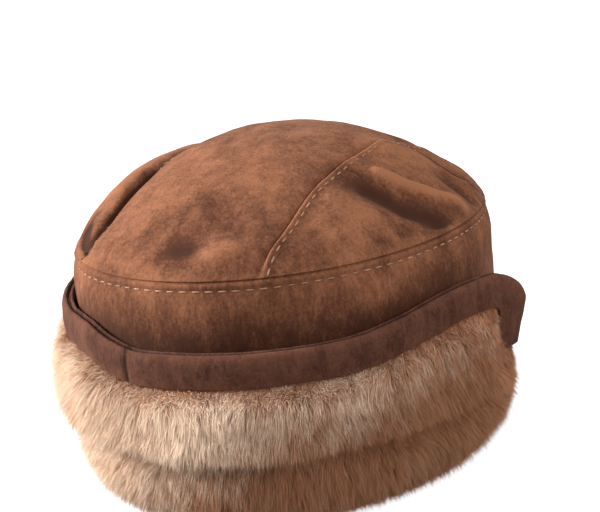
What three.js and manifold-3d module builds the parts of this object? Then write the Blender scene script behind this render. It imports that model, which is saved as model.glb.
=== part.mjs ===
// A suede winter hat: a domed crown of three panels on an upright band, and a fur-lined flap turned up
// round the back and sides. Millimetres, +Z up, the front of the hat towards -Y, the opening at the floor.
import * as THREE from "three";
import { mergeVertices } from "three/addons/utils/BufferGeometryUtils.js";
import Module from "manifold-3d";

const wasm = await Module();
wasm.setup();

// Driving dimensions
const HALF_LENGTH = 103; // crown ring, centre to front or back
const HALF_WIDTH = 88; // crown ring, centre to either side
const MEAN_RADIUS = (HALF_LENGTH + HALF_WIDTH) / 2;
const SEAM_HEIGHT = 107.5; // ring seam between the dome and the band
const DOME_RISE = 41.5;
const DOME_EDGE_POWER = 0.91; // under 1 makes the dome meet the band more steeply
const PANEL_HALF_WIDTH = 44; // the middle panel runs from the front to the back
const FOLD_FADE = 0.14; // share of the ring's radius over which the folds die out
const FOLD_FLOOR = 0.35; // the least share of the dome's rise that a fold leaves
const SUEDE = 2; // thickness of the crown's leather
const GAP = 0.4; // left between neighbouring pieces
const BAND_FOOT = 14; // the band's lower edge, above the floor, tucked into the hem
const BAND_TAPER = 5; // how far the band draws in below this height
const BAND_TAPER_HEIGHT = 55;
const BAND_BELLY = 2.5; // how far the soft band swells between its seam and the flap
const ROUND_STEPS = 48; // steps round the hat

// The turned-up flap, measured along its skin: an arc length from the centre of the back, and a height.
const ARC_RADIUS = 100; // turns an angle round the hat into a length along the flap
const FLAP_END = 1.73 * ARC_RADIUS; // where the flap's front edge stands, at each temple
const FLAP_TOP = 79.5; // top of its bound edge at the back
const FLAP_RISE = 8; // the bound edge climbs this much towards the temples
const RISE_RIGHT = { from: 80, over: 70 }; // where along the flap it climbs
const RISE_LEFT = { from: 2, over: 45 };
const FLAP_FOOT = 39.5;
const CORNER_RADIUS = 19;
const SKIN = 2; // the flap's own skin
const FUR_BODY = 7; // depth of the flap's dense wool
const FLAP_STAND_OFF = 5.9; // middle of the skin, outside the crown ring
const FLARE = 14.4; // how much further the flap stands out at its front corners
const FLARE_START = 1.2 * ARC_RADIUS; // from here on the flap runs straight on, clear of the crown
const FLARE_HEIGHT = 72; // above this the flare is full
const FLARE_DRAW = 0.6; // share of the flare that is drawn in again at the flap's foot

// The suede binding folded over the flap's edge
const BINDING_WIDTH = 14; // outer leaf
const BINDING_INNER_WIDTH = 11;
const BINDING_SUEDE = 1.5;
const BINDING_LEG = 36; // how far it runs down each front edge
const LEG_FOOT = FLAP_TOP + FLAP_RISE - BINDING_LEG;

// Soft folds of the dome in plan: a line from one place to another, its depth, where positive sinks,
// and its half width
const FOLDS = [
  { name: "back dimple", fromX: -12, fromY: 90, toX: -6, toY: 92, depth: 3.2, reach: 9 },
  { name: "back crease", fromX: -12, fromY: 66, toX: -29, toY: 82, depth: 1.6, reach: 7 },
  { name: "right ridge", fromX: -58, fromY: 9, toX: -86, toY: -10, depth: -3.4, reach: 8 },
  { name: "right trough", fromX: -60, fromY: 24, toX: -86, toY: 10, depth: 5.2, reach: 9 },
  { name: "right shoulder", fromX: -50, fromY: -15, toX: -62, toY: -22, depth: -2.5, reach: 10 },
  { name: "right pucker", fromX: -70, fromY: -26, toX: -82, toY: -32, depth: 3.0, reach: 6 },
  { name: "left valley", fromX: 46, fromY: 86, toX: 46, toY: 10, depth: 3.4, reach: 4 },
  { name: "left swell", fromX: 60, fromY: 44, toX: 62, toY: -14, depth: -5.0, reach: 11 },
  { name: "left pleat", fromX: 52, fromY: 76, toX: 62, toY: 64, depth: 3.0, reach: 4 },
  { name: "front sag", fromX: -14, fromY: -66, toX: 22, toY: -72, depth: 2.6, reach: 12 },
];

// Rows of fur locks: how far the roots are below the flap's edge or the hem's top, the length of the fall,
// the offset of the roots from the skin or the hem, and the half width and half depth of a lock
const LOCK_ROWS = [
  { on: "flap", count: 14, below: 19, fall: 12, out: 5, wide: 11, deep: 4.4, phase: 0 },
  { on: "flap", count: 14, below: 29, fall: 12, out: 6, wide: 11, deep: 4.2, phase: 0.5 },
  { on: "hem", count: 19, below: 5, fall: 15, out: 0.6, wide: 14, deep: 4.6, phase: 0 },
  { on: "hem", count: 19, below: 18, fall: 13, out: 0.4, wide: 13, deep: 4.0, phase: 0.5 },
];
const LOCK_LEAN = 3; // tangential drift from root to tip

const HEM_TOP = FLAP_FOOT - GAP;
// Outer face of the rolled hem's fur: height, and offset from the crown ring, from its foot up to its top.
const HEM_SECTION = [
  { height: 0, offset: -7 },
  { height: 4, offset: -4 },
  { height: 10, offset: 0 },
  { height: 16, offset: 3 },
  { height: 22, offset: 5 },
  { height: 31, offset: 7.5 },
  { height: HEM_TOP, offset: 7.5 },
];
const HEM_MOUTH = -13; // offset of the hem's inner foot, which curls in under the band
const HEM_SHELF = -8.5; // and of its inner edge just under the band

const clamp01 = (value) => Math.min(1, Math.max(0, value));
const smooth = (value) => clamp01(value) ** 2 * (3 - 2 * clamp01(value));

// A steady number from 0 to 1 for each lock, so that no two neighbours match.
const jitter = (seed) => {
  const wave = Math.sin(seed * 127.1 + 11.7) * 43758.5453;
  return wave - Math.floor(wave);
};

// A point round the hat: an angle from the back towards the wearer's right, an offset and a height.
const around = (angle, offset, height) =>
  new THREE.Vector3(-(HALF_WIDTH + offset) * Math.sin(angle), (HALF_LENGTH + offset) * Math.cos(angle), height);

const bandOffset = (height) => {
  const belly = BAND_BELLY * smooth((height - FLAP_FOOT) / 35) * smooth((SEAM_HEIGHT - height) / 14);
  return belly - BAND_TAPER * (1 - smooth(height / BAND_TAPER_HEIGHT));
};
const bandFace = (height) => bandOffset(Math.max(height, BAND_FOOT)) + GAP; // where the fur behind it starts

// The flap's own place: its skin's middle, at an arc length and a height
const flapTop = (arc) => {
  const right = smooth((arc - RISE_RIGHT.from) / RISE_RIGHT.over);
  const left = smooth((-arc - RISE_LEFT.from) / RISE_LEFT.over);
  return FLAP_TOP + FLAP_RISE * Math.max(right, left);
};
const flareShare = (arc) => clamp01((Math.abs(arc) - FLARE_START) / (FLAP_END - FLARE_START));
const flapOffset = (arc, height) => {
  const drawn = FLARE_DRAW * clamp01((FLARE_HEIGHT - height) / (FLARE_HEIGHT - FLAP_FOOT));
  return FLAP_STAND_OFF + FLARE * (1 - drawn) * flareShare(arc) ** 2;
};
const onFlap = (arc, height, out) => around(arc / ARC_RADIUS, flapOffset(arc, height) + out, height);

// Distance from the flap's bound edge, which turns down at each end in a round corner
function edgeDistance(arc, height) {
  const fromEnd = FLAP_END - Math.abs(arc);
  const fromTop = flapTop(arc) - height;
  if (fromEnd >= CORNER_RADIUS || fromTop >= CORNER_RADIUS) return Math.min(fromEnd, fromTop);
  return CORNER_RADIUS - Math.hypot(CORNER_RADIUS - fromEnd, CORNER_RADIUS - fromTop);
}

// Joins equal rings of points into one closed mesh. An open run of rings gets a flat cap at each end.
function loft(rings, closed = false) {
  const side = rings[0].length;
  const positions = rings.flat().flatMap((point) => point.toArray());
  const triangles = [];
  const steps = closed ? rings.length : rings.length - 1;
  for (let ring = 0; ring < steps; ring++) {
    const next = (ring + 1) % rings.length;
    for (let k = 0; k < side; k++) {
      const [a, b] = [ring * side + k, ring * side + ((k + 1) % side)];
      const [c, d] = [next * side + k, next * side + ((k + 1) % side)];
      triangles.push(a, c, b, b, c, d);
    }
  }
  if (!closed) {
    const last = (rings.length - 1) * side;
    for (const [a, b, c] of capFaces(rings[0])) triangles.push(a, b, c);
    for (const [a, b, c] of capFaces(rings.at(-1))) triangles.push(last + a, last + c, last + b);
  }
  const geometry = new THREE.BufferGeometry();
  geometry.setAttribute("position", new THREE.Float32BufferAttribute(positions, 3));
  geometry.setIndex(triangles);
  return outwards(geometry);
}

// Triangles of a flat ring, found in the plane that it lies in
function capFaces(ring) {
  const centre = ring.reduce((sum, point) => sum.clone().add(point), new THREE.Vector3()).divideScalar(ring.length);
  const normal = new THREE.Vector3();
  ring.forEach((point, k) => {
    const next = ring[(k + 1) % ring.length];
    normal.add(point.clone().sub(centre).cross(next.clone().sub(centre)));
  });
  const turn = new THREE.Quaternion().setFromUnitVectors(normal.normalize(), new THREE.Vector3(0, 0, 1));
  const flat = ring.map((point) => point.clone().sub(centre).applyQuaternion(turn));
  return THREE.ShapeUtils.triangulateShape(flat.map((point) => new THREE.Vector2(point.x, point.y)), []);
}

// Turns a closed mesh's faces round if they point inwards.
function outwards(geometry) {
  const [a, b, c] = [new THREE.Vector3(), new THREE.Vector3(), new THREE.Vector3()];
  const { index, attributes } = geometry;
  let volume = 0;
  for (let i = 0; i < index.count; i += 3) {
    a.fromBufferAttribute(attributes.position, index.getX(i));
    b.fromBufferAttribute(attributes.position, index.getX(i + 1));
    c.fromBufferAttribute(attributes.position, index.getX(i + 2));
    volume += a.dot(b.cross(c));
  }
  if (volume < 0) geometry.setIndex([...index.array].reverse());
  return geometry;
}

function toSolid(geometry) {
  const bare = geometry.clone();
  bare.deleteAttribute("normal");
  bare.deleteAttribute("uv");
  const merged = mergeVertices(bare, 1e-3);
  return new wasm.Manifold(
    new wasm.Mesh({
      numProp: 3,
      vertProperties: new Float32Array(merged.attributes.position.array),
      triVerts: new Uint32Array(merged.index.array),
    }),
  );
}

function toGeometry(solid) {
  const { vertProperties, triVerts } = solid.getMesh();
  const geometry = new THREE.BufferGeometry();
  geometry.setAttribute("position", new THREE.BufferAttribute(vertProperties, 3));
  geometry.setIndex(new THREE.BufferAttribute(triVerts, 1));
  return geometry;
}

const box = (width, depth, height, x, y, z) =>
  toSolid(new THREE.BoxGeometry(width, depth, height).translate(x, y, z));

// How far the folds sink the dome at a place in plan. It fades out near the ring seam, which stays true.
function foldDepth(x, y) {
  const here = new THREE.Vector2(x, y);
  let depth = 0;
  for (const fold of FOLDS) {
    const line = new THREE.Line3(
      new THREE.Vector3(fold.fromX, fold.fromY, 0),
      new THREE.Vector3(fold.toX, fold.toY, 0),
    );
    const near = line.closestPointToPoint(new THREE.Vector3(x, y, 0), true, new THREE.Vector3());
    const away = here.distanceTo(new THREE.Vector2(near.x, near.y)) / fold.reach;
    depth += fold.depth * Math.exp(-away * away);
  }
  const share = Math.hypot(x / HALF_WIDTH, y / HALF_LENGTH);
  return depth * smooth((1 - share) / FOLD_FADE);
}

// The dome as one hollow shell, turned round from its profile and then stretched to the oval and folded
function domeShell() {
  const rings = 11;
  const shares = Array.from({ length: rings + 1 }, (_, k) => Math.sin((k / rings) * (Math.PI / 2)));
  const skin = (radius, rise) =>
    shares.map((share) => {
      const height = SEAM_HEIGHT + rise * (1 - share * share) ** DOME_EDGE_POWER;
      return new THREE.Vector2(share * radius, height);
    });
  const outer = skin(MEAN_RADIUS, DOME_RISE);
  const inner = skin(MEAN_RADIUS - SUEDE, DOME_RISE - SUEDE);
  const shell = new THREE.LatheGeometry([...inner, ...outer.reverse()], ROUND_STEPS);
  shell.rotateX(Math.PI / 2).scale(HALF_WIDTH / MEAN_RADIUS, HALF_LENGTH / MEAN_RADIUS, 1);
  const place = shell.attributes.position;
  for (let k = 0; k < place.count; k++) {
    const above = place.getZ(k) - SEAM_HEIGHT;
    const sunk = above - foldDepth(place.getX(k), place.getY(k));
    place.setZ(k, SEAM_HEIGHT + Math.max(sunk, FOLD_FLOOR * above));
  }
  return toSolid(shell);
}

function crownPanels() {
  const dome = domeShell();
  const [long, tall] = [4 * HALF_LENGTH, 4 * SEAM_HEIGHT];
  const middle = dome.intersect(box(2 * PANEL_HALF_WIDTH - GAP, long, tall, 0, 0, 0));
  const sideOf = (sign) => {
    const centre = sign * (PANEL_HALF_WIDTH + GAP / 2 + HALF_WIDTH);
    return dome.intersect(box(2 * HALF_WIDTH, long, tall, centre, 0, 0));
  };
  return { middle, left: sideOf(1), right: sideOf(-1) };
}

// The upright band under the dome, which draws in a little towards the opening
function band() {
  const heights = [BAND_FOOT, 34, 56, 74, 94, SEAM_HEIGHT - GAP];
  const section = [
    ...heights.map((height) => ({ height, offset: bandOffset(height) })),
    ...heights.toReversed().map((height) => ({ height, offset: bandOffset(height) - SUEDE })),
  ];
  return loft(ringsRound(() => section), true);
}

// One ring of section points at each step round the hat
function ringsRound(sectionAt) {
  return Array.from({ length: ROUND_STEPS }, (_, step) => {
    const angle = (step / ROUND_STEPS) * 2 * Math.PI;
    return sectionAt(angle).map(({ offset, height }) => around(angle, offset, height));
  });
}

// The binding is an inverted U in section, swept along the flap's edge: up one front edge, round, and down
// the other. Grown by a margin, it is the space that the fur leaves for it.
function binding(margin = 0) {
  const slot = SKIN / 2 + GAP - margin;
  const face = SKIN / 2 + GAP + BINDING_SUEDE + margin;
  const fold = BINDING_SUEDE + margin;
  const section = [
    { inward: -margin, out: face },
    { inward: BINDING_WIDTH + margin, out: face },
    { inward: BINDING_WIDTH + margin, out: slot },
    { inward: fold, out: slot },
    { inward: fold, out: -slot },
    { inward: BINDING_INNER_WIDTH + margin, out: -slot },
    { inward: BINDING_INNER_WIDTH + margin, out: -face },
    { inward: -margin, out: -face },
  ];
  const stations = edgeStations();
  const rings = stations.map(({ arc, drop, inArc, inDown }) =>
    section.map(({ inward, out }) => {
      const at = arc + inArc * inward;
      return onFlap(at, flapTop(at) - drop - inDown * inward, out);
    }),
  );
  return loft(rings);
}

// Stations along the flap's edge: arc length, drop below the top edge, and the way inwards from the edge
function edgeStations() {
  const cornerSteps = 6;
  const runSteps = 40;
  const right = [];
  for (let k = 0; k <= cornerSteps; k++) {
    const turn = (k / cornerSteps) * (Math.PI / 2);
    right.push({
      arc: FLAP_END - CORNER_RADIUS + CORNER_RADIUS * Math.sin(turn),
      drop: CORNER_RADIUS - CORNER_RADIUS * Math.cos(turn),
      inArc: -Math.sin(turn),
      inDown: Math.cos(turn),
    });
  }
  right.push({ arc: FLAP_END, drop: BINDING_LEG, inArc: -1, inDown: 0 });
  const left = right.map(({ arc, drop, inArc, inDown }) => ({ arc: -arc, drop, inArc: -inArc, inDown }));
  const reach = FLAP_END - CORNER_RADIUS;
  const run = Array.from({ length: runSteps - 1 }, (_, k) => ({
    arc: -reach + ((k + 1) / runSteps) * 2 * reach,
    drop: 0,
    inArc: 0,
    inDown: 1,
  }));
  return [...left.toReversed(), ...run, ...right];
}

// The flap's skin with the body of its fur on the outside, below and behind the binding
function flapBody() {
  const steps = 42;
  const slot = BINDING_SUEDE + GAP;
  const reach = FLAP_END - slot;
  const furBody = (arc, height) => {
    const clear = Math.max(edgeDistance(arc, height) - BINDING_WIDTH, LEG_FOOT - height) - GAP;
    return FUR_BODY * smooth(clear / 4);
  };
  const rings = Array.from({ length: steps + 1 }, (_, step) => {
    const arc = reach * Math.sin(((step / steps) * 2 - 1) * (Math.PI / 2) * 0.999);
    const fromEnd = FLAP_END - Math.abs(arc);
    const corner = CORNER_RADIUS - slot;
    const turned = Math.max(0, CORNER_RADIUS - fromEnd);
    const top = flapTop(arc) - CORNER_RADIUS + Math.sqrt(Math.max(0, corner * corner - turned * turned));
    const bare = Math.min(top - 1, flapTop(arc) - BINDING_WIDTH - GAP);
    const rows = [0, 0.2, 0.45, 0.75, 1].map((share) => FLAP_FOOT + share * (bare - FLAP_FOOT));
    return [
      ...rows.map((height) => onFlap(arc, height, SKIN / 2 + furBody(arc, height))),
      onFlap(arc, top, SKIN / 2),
      onFlap(arc, top, -SKIN / 2),
      onFlap(arc, FLAP_FOOT, -SKIN / 2),
    ];
  });
  return loft(rings);
}

// One lock of fur: a flat leaf that starts inside the fur body, stands out and hangs to a blunt point
function lock(place, arc, root, row, seed) {
  const fall = row.fall * (0.85 + 0.3 * jitter(seed));
  const lean = LOCK_LEAN * (0.4 + jitter(seed + 0.3));
  const stations = [
    { down: -0.12, out: -0.9, wide: 0.75, deep: 0.7 },
    { down: 0.3, out: 0.45, wide: 1, deep: 1 },
    { down: 0.7, out: 0.35, wide: 0.8, deep: 0.75 },
    { down: 1, out: -0.2, wide: 0.22, deep: 0.25 },
  ];
  const rings = stations.map((station) => {
    const height = root - station.down * fall;
    const middle = arc + lean * station.down;
    const [wide, deep] = [station.wide * row.wide, station.deep * row.deep];
    const out = row.out + station.out * row.deep;
    return [
      place(middle - wide, height, out),
      place(middle, height + 0.1 * deep, out + deep),
      place(middle + wide, height, out),
      place(middle, height - 0.1 * deep, out - deep),
    ];
  });
  return toSolid(loft(rings));
}

function locksOf(piece, place, span, rootOf) {
  const rows = LOCK_ROWS.filter((row) => row.on === piece);
  return rows.flatMap((row, order) =>
    Array.from({ length: row.count }, (_, k) => {
      const seed = order * 100 + k + (piece === "hem" ? 500 : 0);
      const arc = span * (((k + row.phase + 0.3 * (jitter(seed + 7) - 0.5)) / row.count) * 2 - 1);
      return lock(place, arc, rootOf(arc, row), row, seed);
    }),
  );
}

function furFlap() {
  const span = FLAP_END - BINDING_WIDTH - 14;
  const locks = locksOf("flap", onFlap, span, (arc, row) => flapTop(arc) - row.below);
  const whole = locks.reduce((body, each) => body.add(each), toSolid(flapBody()));
  const floor = box(600, 600, 2 * FLAP_FOOT, 0, 0, 0);
  return whole.subtract(floor).subtract(toSolid(binding(0.75 * GAP)));
}

// The hem's outer face at a height
function hemOffset(height) {
  const above = HEM_SECTION.findIndex((point) => point.height >= height);
  if (above < 1) return HEM_SECTION.at(above).offset;
  const [low, high] = [HEM_SECTION[above - 1], HEM_SECTION[above]];
  const share = (height - low.height) / (high.height - low.height);
  return low.offset + share * (high.offset - low.offset);
}

function furHem() {
  const behindBand = [HEM_TOP, 26, BAND_FOOT - GAP].map((height) => ({ height, offset: bandFace(height) }));
  const underBand = [
    { height: BAND_FOOT - GAP, offset: HEM_SHELF },
    { height: 0, offset: HEM_MOUTH },
  ];
  const section = [...HEM_SECTION, ...behindBand, ...underBand];
  const place = (arc, height, out) => around(arc / ARC_RADIUS, hemOffset(height) + out, height);
  const locks = locksOf("hem", place, Math.PI * ARC_RADIUS, (arc, row) => HEM_TOP - row.below);
  const whole = locks.reduce((body, each) => body.add(each), toSolid(loft(ringsRound(() => section), true)));
  const allowed = box(600, 600, HEM_TOP, 0, 0, HEM_TOP / 2);
  const bandSpace = toSolid(loft(ringsRound(() => bandClearance()), true));
  return whole.intersect(allowed).subtract(bandSpace);
}

// The space that the band takes, kept clear of the hem's fur
function bandClearance() {
  const heights = [BAND_FOOT - GAP, 26, FLAP_FOOT + 5];
  const outer = heights.map((height) => ({ height, offset: bandFace(height) }));
  return [...outer, ...heights.toReversed().map((height) => ({ height, offset: -40 }))];
}

const suede = new THREE.MeshStandardMaterial({ color: 0x8a5a42, roughness: 0.95, metalness: 0 });
const darkSuede = new THREE.MeshStandardMaterial({ color: 0x6b4032, roughness: 0.95, metalness: 0 });
const fur = new THREE.MeshStandardMaterial({ color: 0xb08c6c, roughness: 1, metalness: 0 });

function piece(name, geometry, material) {
  const mesh = new THREE.Mesh(geometry, material);
  mesh.name = name;
  return mesh;
}

const panels = crownPanels();
const pieces = new THREE.Group();
pieces.add(
  piece("crown_middle_panel", toGeometry(panels.middle), suede),
  piece("crown_left_panel", toGeometry(panels.left), suede),
  piece("crown_right_panel", toGeometry(panels.right), suede),
  piece("crown_band", band(), suede),
  piece("flap_binding", binding(), darkSuede),
  piece("flap_fur", toGeometry(furFlap()), fur),
  piece("hem_fur", toGeometry(furHem()), fur),
);

// The origin is the middle of the hat's footprint, on the floor.
const bounds = new THREE.Box3().setFromObject(pieces, true);
const middle = bounds.getCenter(new THREE.Vector3());
pieces.position.set(-middle.x, -middle.y, -bounds.min.z);

const hat = new THREE.Group();
hat.add(pieces);

export default hat;
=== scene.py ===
"""Suede winter hat with a turned-up fur flap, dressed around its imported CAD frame.

Lengths in the functions are millimetres from the middle of the crown ring on the floor.
The front of the hat is towards -Y. Meshes are written in metres.
"""
import math

import bmesh
import bpy
import numpy as np
from mathutils import Matrix, Quaternion, Vector, noise


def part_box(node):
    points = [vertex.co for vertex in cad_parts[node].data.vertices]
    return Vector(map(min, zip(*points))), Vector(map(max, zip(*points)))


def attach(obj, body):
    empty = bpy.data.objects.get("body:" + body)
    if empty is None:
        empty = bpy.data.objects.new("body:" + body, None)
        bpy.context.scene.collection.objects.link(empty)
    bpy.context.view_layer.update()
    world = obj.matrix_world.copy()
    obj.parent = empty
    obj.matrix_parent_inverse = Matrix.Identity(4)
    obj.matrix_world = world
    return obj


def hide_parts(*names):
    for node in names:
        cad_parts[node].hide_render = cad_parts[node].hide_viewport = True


bl_info = {
    "name": "Suede hat with a fur flap",
    "version": (1, 0, 0),
    "blender": (4, 5, 0),
    "location": "View3D > Sidebar > Hat",
    "description": "Builds the suede, stitching and fur of a winter hat around its CAD frame",
    "category": "Object",
}

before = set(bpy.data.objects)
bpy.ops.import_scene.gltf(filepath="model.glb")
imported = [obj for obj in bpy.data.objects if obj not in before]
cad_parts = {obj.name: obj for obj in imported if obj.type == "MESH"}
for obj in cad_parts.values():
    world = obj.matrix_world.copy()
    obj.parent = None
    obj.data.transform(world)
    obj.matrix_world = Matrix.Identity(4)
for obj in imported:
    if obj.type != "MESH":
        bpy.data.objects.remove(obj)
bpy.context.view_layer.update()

MM = 0.001
BODY = "root"
DOME_LOW, DOME_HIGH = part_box("crown_middle_panel")
BINDING_LOW, BINDING_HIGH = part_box("flap_binding")
RIGHT_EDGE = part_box("crown_right_panel")[0][0]
LEFT_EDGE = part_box("crown_left_panel")[1][0]
RING_CENTRE = Vector(((LEFT_EDGE + RIGHT_EDGE) / 2, (DOME_LOW[1] + DOME_HIGH[1]) / 2, 0))
HALF_WIDTH = (LEFT_EDGE - RIGHT_EDGE) / 2 / MM
HALF_LENGTH = (DOME_HIGH[1] - DOME_LOW[1]) / 2 / MM
SEAM_HEIGHT = DOME_LOW[2] / MM
DOME_RISE = (DOME_HIGH[2] - DOME_LOW[2]) / MM
PANEL_HALF_WIDTH = (DOME_HIGH[0] - DOME_LOW[0]) / 2 / MM
BAND_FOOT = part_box("crown_band")[0][2] / MM
FLAP_RISE = 8.0
FLAP_TOP = BINDING_HIGH[2] / MM - FLAP_RISE
FLAP_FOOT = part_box("flap_fur")[0][2] / MM
LEG_FOOT = BINDING_LOW[2] / MM

DOME_EDGE_POWER = 0.91
ARC_RADIUS = 100.0
FLAP_END = 1.73 * ARC_RADIUS
RISE_RIGHT = {"from": 80.0, "over": 70.0}
RISE_LEFT = {"from": 2.0, "over": 45.0}
CORNER_RADIUS = 19.0
FLAP_STAND_OFF = 5.9
FLARE = 14.4
FLARE_START = 1.2 * ARC_RADIUS
FLARE_HEIGHT = 72.0
FLARE_DRAW = 0.6
BINDING_WIDTH = 14.0
BINDING_JOIN = -10.0
BAND_TAPER = 5.0
BAND_TAPER_HEIGHT = 55.0
BAND_BELLY = 2.5
BINDING_LEATHER = 1.1

# Soft folds of the dome: the line that each follows in plan, its depth, where positive sinks,
# its half width, and how much shade is painted in it, where a negative value is a painted highlight
RIDGE_LINE = ((-57, 12), (-68, 7), (-77, -3), (-87, -15))
TROUGH_LINE = ((-58, 24), (-72, 19), (-81, 11), (-87, 5))
FOLDS = (
    {"name": "back dimple", "line": ((-13, 90), (-8, 91)), "depth": 2.8, "reach": 8, "dark": 3},
    {"name": "back crease", "line": ((-14, 68), (-20, 73), (-27, 78)), "depth": 1.7, "reach": 5, "dark": 0},
    {"name": "back swell", "line": ((-30, 86), (-22, 92)), "depth": -1.2, "reach": 7, "dark": -2},
    {"name": "right ridge", "line": RIDGE_LINE, "depth": -3.2, "reach": 2.8, "dark": -8},
    {"name": "right trough", "line": TROUGH_LINE, "depth": 4.8, "reach": 8, "dark": 2},
    {"name": "right patch", "line": ((-70, -25), (-81, -27)), "depth": 3.4, "reach": 6, "dark": 2},
    {"name": "right swell", "line": ((-58, 46), (-70, 42)), "depth": -2.4, "reach": 9, "dark": 0},
    {"name": "far fold", "line": ((-42, -41), (-60, -40), (-73, -45)), "depth": 2.4, "reach": 4, "dark": 4},
    {"name": "right shoulder", "line": ((-50, -15), (-62, -22)), "depth": -2.5, "reach": 10, "dark": 0},
    {"name": "upper pucker", "line": ((-80, 42), (-74, 46)), "depth": 1.8, "reach": 4, "dark": 2},
    {"name": "lower pucker", "line": ((-82, 32), (-78, 34)), "depth": 2.0, "reach": 4, "dark": 2},
    {"name": "left valley", "line": ((47, 88), (46, 60), (46, 30)), "depth": 4.2, "reach": 3.6, "dark": 11},
    {"name": "left valley end", "line": ((46, 62), (46, -22)), "depth": 2.2, "reach": 3.2, "dark": 6},
    {"name": "left swell", "line": ((60, 44), (62, -14)), "depth": -5.0, "reach": 11, "dark": 0},
    {"name": "left pleat", "line": ((52, 78), (62, 63)), "depth": 3.4, "reach": 3.2, "dark": 8},
    {"name": "front sag", "line": ((-14, -66), (22, -72)), "depth": 2.4, "reach": 12, "dark": 0},
)
FOLD_FADE = 0.05

# Body of the rolled hem: height and offset from the crown ring, from its foot up to the flap
HEM_PROFILE = (
    {"height": 0.0, "offset": -9.0},
    {"height": 2.0, "offset": -7.0},
    {"height": 5.0, "offset": -4.8},
    {"height": 10.0, "offset": -1.5},
    {"height": 16.0, "offset": 1.8},
    {"height": 22.0, "offset": 4.0},
    {"height": 28.0, "offset": 5.4},
    {"height": 32.0, "offset": 5.0},
    {"height": 36.0, "offset": 3.0},
    {"height": 38.8, "offset": 1.2},
)
HEM_MOUTH = -12.6
HEM_SHELF = -8.0
BED_DEPTH = 0.3

# Section of the folded binding: distance in from the flap's edge, distance out from the middle of its skin,
# and how dark it is painted: painted shade in the groove under the fold, a painted highlight on its rounded
# top, and the paler raw edge at the foot of the outer face
BINDING_SECTION = (
    {"inward": 14.4, "out": 2.0, "dark": -6.0},
    {"inward": 14.2, "out": 2.9, "dark": -6.0},
    {"inward": 13.5, "out": 3.1, "dark": -1.0},
    {"inward": 11.0, "out": 3.4, "dark": 0.0},
    {"inward": 7.5, "out": 3.6, "dark": 0.0},
    {"inward": 4.0, "out": 3.5, "dark": -0.5},
    {"inward": 1.8, "out": 3.0, "dark": -1.5},
    {"inward": 0.5, "out": 2.2, "dark": -1.5},
    {"inward": 0.2, "out": 1.3, "dark": 0.0},
    {"inward": 0.9, "out": 0.5, "dark": 4.0},
    {"inward": 3.0, "out": 0.1, "dark": 8.0},
    {"inward": 0.8, "out": -0.4, "dark": 4.0},
    {"inward": 0.0, "out": -1.1, "dark": -1.0},
    {"inward": 0.5, "out": -2.0, "dark": 0.0},
    {"inward": 2.4, "out": -2.5, "dark": 0.0},
    {"inward": 7.0, "out": -2.6, "dark": 0.0},
    {"inward": 11.0, "out": -2.4, "dark": 0.0},
)

# Studio lights: place in metres, power in watts and width in metres
LIGHTS = (
    {"name": "key", "place": (0.97, 0.6, 0.62), "watts": 33.0, "width": 0.45},
    {"name": "top", "place": (-0.3, -0.2, 1.25), "watts": 7.0, "width": 0.8},
    {"name": "fill", "place": (-1.1, 0.3, 0.6), "watts": 7.0, "width": 0.8},
)
LIGHTS_AIM = Vector((0, 0, 0.08))
ROOM_LIGHT = 0.45
FLOOR_HALF = 4.0
FLOOR_DROP = 0.3
FLOOR_GLOW = 0.92

# Camera: distance and height of its aim in millimetres, and its angles in degrees
CAMERA = {"distance": 650.0, "aim": 80.0, "azimuth": 213.39, "elevation": 16.03, "roll": 5.53}
LENS = {"lens": 84.63, "sensor_width": 36.0, "shift_x": 0.018, "shift_y": 0.0283, "clip_start": 0.01}


def smooth(value):
    """A soft step from 0 to 1."""
    held = np.clip(value, 0.0, 1.0)
    return held * held * (3 - 2 * held)


def around(angle, offset, height):
    """A point round the hat: an angle from the centre of the back towards the wearer's right."""
    x = -(HALF_WIDTH + offset) * math.sin(angle)
    y = (HALF_LENGTH + offset) * math.cos(angle)
    return Vector((x, y, height))


def wave(x, y, z, size, seed=0.0):
    """Smooth noise between about -1 and 1 at a length scale in millimetres."""
    return noise.noise(Vector((x / size + seed, y / size - seed, z / size + 2 * seed)))


def line_distance(x, y, line):
    """Distance in plan from a point to a line of short stretches."""
    here = Vector((x, y))
    best = 1e9
    for start, end in zip(line, line[1:]):
        a = Vector(start)
        along = Vector(end) - a
        share = max(0.0, min(1.0, (here - a).dot(along) / along.length_squared))
        best = min(best, (here - a - share * along).length)
    return best


def fold_at(x, y):
    """How far the folds sink the dome at a place in plan, and the shade painted there, which grows with the
    sinking and with each fold's painted shade, and falls for a painted highlight.
    """
    share = math.hypot(x / HALF_WIDTH, y / HALF_LENGTH)
    depth = 0.0
    dark = 0.0
    for fold in FOLDS:
        away = line_distance(x, y, fold["line"]) / fold["reach"]
        if away < 3:
            depth += fold["depth"] * math.exp(-away * away)
            dark += fold["dark"] * math.exp(-2 * away * away)
    fade = float(smooth((1 - share) / FOLD_FADE))
    return depth * fade, (depth + dark) * fade


def seam_dip(x):
    """The dome draws in along the two long seams, and the side panel's turned edge stands up beside them."""
    beside = abs(x) - PANEL_HALF_WIDTH
    groove = 1.1 * math.exp(-((beside / 1.0) ** 2))
    hollow = 0.7 * math.exp(-((beside / 9.0) ** 2))
    lip = 1.0 * math.exp(-(((beside - 1.7) / 1.1) ** 2))
    return groove + hollow - lip


def seam_lip_highlight(x):
    """A painted highlight along the side panel's turned edge beside its seam."""
    return 5.0 * math.exp(-(((abs(x) - PANEL_HALF_WIDTH - 1.3) / 0.7) ** 2))


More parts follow.
